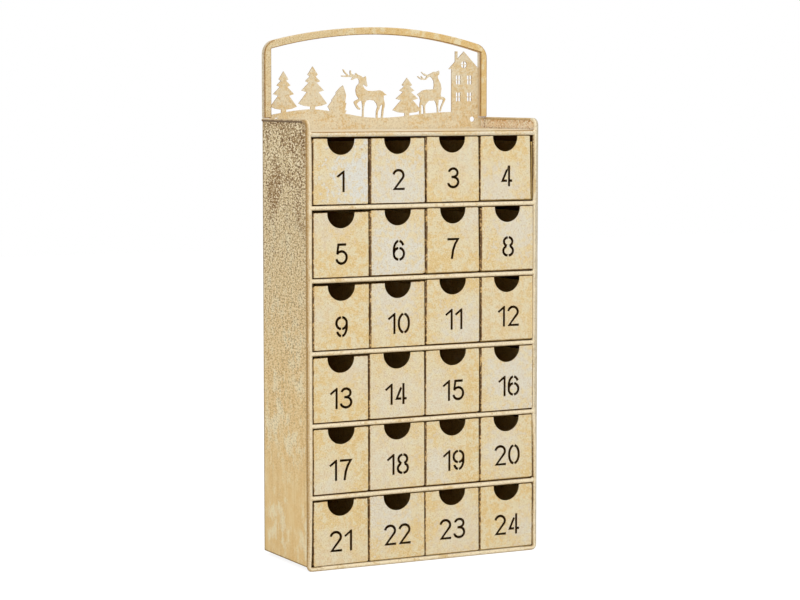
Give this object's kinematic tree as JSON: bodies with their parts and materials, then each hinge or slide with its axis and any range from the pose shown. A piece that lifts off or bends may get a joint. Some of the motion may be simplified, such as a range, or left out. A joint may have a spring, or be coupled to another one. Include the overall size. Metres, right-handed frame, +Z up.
{
  "type": "advent calendar",
  "caption": "Free-standing sheet metal cabinet of small numbered drawers under an arched bar with a cut-out winter scene; each drawer pulls out at its finger notch.",
  "frame": {"origin": "middle of the footprint, on the surface that the calendar stands on", "axes": "+X to the right seen from the front, +Y from the drawer fronts to the back, +Z up"},
  "size_m": [0.24, 0.1028, 0.4937],
  "materials": {
    "front_paint": "matt cream and gold, distressed",
    "tray_paint": "matt dark brown",
    "side_paint": "satin gold, brown and cream, distressed",
    "plate_paint": "matt cream and gold, distressed",
    "arch_paint": "satin gold, distressed"
  },
  "bodies": {
    "casing": {"left_side_panel": "side_paint", "right_side_panel": "side_paint", "bottom_plate": "plate_paint", "top_plate": "plate_paint", "back_panel": "plate_paint", "shelf_1": "plate_paint", "shelf_2": "plate_paint", "shelf_3": "plate_paint", "shelf_4": "plate_paint", "shelf_5": "plate_paint", "scene_plate": "arch_paint", "arch_frame": "arch_paint"},
    "drawer_01": {"drawer_front_01": "front_paint", "drawer_tray_01": "tray_paint"},
    "drawer_02": {"drawer_front_02": "front_paint", "drawer_tray_02": "tray_paint"},
    "drawer_03": {"drawer_front_03": "front_paint", "drawer_tray_03": "tray_paint"},
    "drawer_04": {"drawer_front_04": "front_paint", "drawer_tray_04": "tray_paint"},
    "drawer_05": {"drawer_front_05": "front_paint", "drawer_tray_05": "tray_paint"},
    "drawer_06": {"drawer_front_06": "front_paint", "drawer_tray_06": "tray_paint"},
    "drawer_07": {"drawer_front_07": "front_paint", "drawer_tray_07": "tray_paint"},
    "drawer_08": {"drawer_front_08": "front_paint", "drawer_tray_08": "tray_paint"},
    "drawer_09": {"drawer_front_09": "front_paint", "drawer_tray_09": "tray_paint"},
    "drawer_10": {"drawer_front_10": "front_paint", "drawer_tray_10": "tray_paint"},
    "drawer_11": {"drawer_front_11": "front_paint", "drawer_tray_11": "tray_paint"},
    "drawer_12": {"drawer_front_12": "front_paint", "drawer_tray_12": "tray_paint"},
    "drawer_13": {"drawer_front_13": "front_paint", "drawer_tray_13": "tray_paint"},
    "drawer_14": {"drawer_front_14": "front_paint", "drawer_tray_14": "tray_paint"},
    "drawer_15": {"drawer_front_15": "front_paint", "drawer_tray_15": "tray_paint"},
    "drawer_16": {"drawer_front_16": "front_paint", "drawer_tray_16": "tray_paint"},
    "drawer_17": {"drawer_front_17": "front_paint", "drawer_tray_17": "tray_paint"},
    "drawer_18": {"drawer_front_18": "front_paint", "drawer_tray_18": "tray_paint"},
    "drawer_19": {"drawer_front_19": "front_paint", "drawer_tray_19": "tray_paint"},
    "drawer_20": {"drawer_front_20": "front_paint", "drawer_tray_20": "tray_paint"},
    "drawer_21": {"drawer_front_21": "front_paint", "drawer_tray_21": "tray_paint"},
    "drawer_22": {"drawer_front_22": "front_paint", "drawer_tray_22": "tray_paint"},
    "drawer_23": {"drawer_front_23": "front_paint", "drawer_tray_23": "tray_paint"},
    "drawer_24": {"drawer_front_24": "front_paint", "drawer_tray_24": "tray_paint"}
  },
  "joints": [
    {"name": "drawer_01_slide", "type": "slide", "parent": "casing", "child": "drawer_01", "axis": [0, -1, 0], "range_m": [0, 0.09]},
    {"name": "drawer_02_slide", "type": "slide", "parent": "casing", "child": "drawer_02", "axis": [0, -1, 0], "range_m": [0, 0.09]},
    {"name": "drawer_03_slide", "type": "slide", "parent": "casing", "child": "drawer_03", "axis": [0, -1, 0], "range_m": [0, 0.09]},
    {"name": "drawer_04_slide", "type": "slide", "parent": "casing", "child": "drawer_04", "axis": [0, -1, 0], "range_m": [0, 0.09]},
    {"name": "drawer_05_slide", "type": "slide", "parent": "casing", "child": "drawer_05", "axis": [0, -1, 0], "range_m": [0, 0.09]},
    {"name": "drawer_06_slide", "type": "slide", "parent": "casing", "child": "drawer_06", "axis": [0, -1, 0], "range_m": [0, 0.09]},
    {"name": "drawer_07_slide", "type": "slide", "parent": "casing", "child": "drawer_07", "axis": [0, -1, 0], "range_m": [0, 0.09]},
    {"name": "drawer_08_slide", "type": "slide", "parent": "casing", "child": "drawer_08", "axis": [0, -1, 0], "range_m": [0, 0.09]},
    {"name": "drawer_09_slide", "type": "slide", "parent": "casing", "child": "drawer_09", "axis": [0, -1, 0], "range_m": [0, 0.09]},
    {"name": "drawer_10_slide", "type": "slide", "parent": "casing", "child": "drawer_10", "axis": [0, -1, 0], "range_m": [0, 0.09]},
    {"name": "drawer_11_slide", "type": "slide", "parent": "casing", "child": "drawer_11", "axis": [0, -1, 0], "range_m": [0, 0.09]},
    {"name": "drawer_12_slide", "type": "slide", "parent": "casing", "child": "drawer_12", "axis": [0, -1, 0], "range_m": [0, 0.09]},
    {"name": "drawer_13_slide", "type": "slide", "parent": "casing", "child": "drawer_13", "axis": [0, -1, 0], "range_m": [0, 0.09]},
    {"name": "drawer_14_slide", "type": "slide", "parent": "casing", "child": "drawer_14", "axis": [0, -1, 0], "range_m": [0, 0.09]},
    {"name": "drawer_15_slide", "type": "slide", "parent": "casing", "child": "drawer_15", "axis": [0, -1, 0], "range_m": [0, 0.09]},
    {"name": "drawer_16_slide", "type": "slide", "parent": "casing", "child": "drawer_16", "axis": [0, -1, 0], "range_m": [0, 0.09]},
    {"name": "drawer_17_slide", "type": "slide", "parent": "casing", "child": "drawer_17", "axis": [0, -1, 0], "range_m": [0, 0.09]},
    {"name": "drawer_18_slide", "type": "slide", "parent": "casing", "child": "drawer_18", "axis": [0, -1, 0], "range_m": [0, 0.09]},
    {"name": "drawer_19_slide", "type": "slide", "parent": "casing", "child": "drawer_19", "axis": [0, -1, 0], "range_m": [0, 0.09]},
    {"name": "drawer_20_slide", "type": "slide", "parent": "casing", "child": "drawer_20", "axis": [0, -1, 0], "range_m": [0, 0.09]},
    {"name": "drawer_21_slide", "type": "slide", "parent": "casing", "child": "drawer_21", "axis": [0, -1, 0], "range_m": [0, 0.09]},
    {"name": "drawer_22_slide", "type": "slide", "parent": "casing", "child": "drawer_22", "axis": [0, -1, 0], "range_m": [0, 0.09]},
    {"name": "drawer_23_slide", "type": "slide", "parent": "casing", "child": "drawer_23", "axis": [0, -1, 0], "range_m": [0, 0.09]},
    {"name": "drawer_24_slide", "type": "slide", "parent": "casing", "child": "drawer_24", "axis": [0, -1, 0], "range_m": [0, 0.09]}
  ]
}
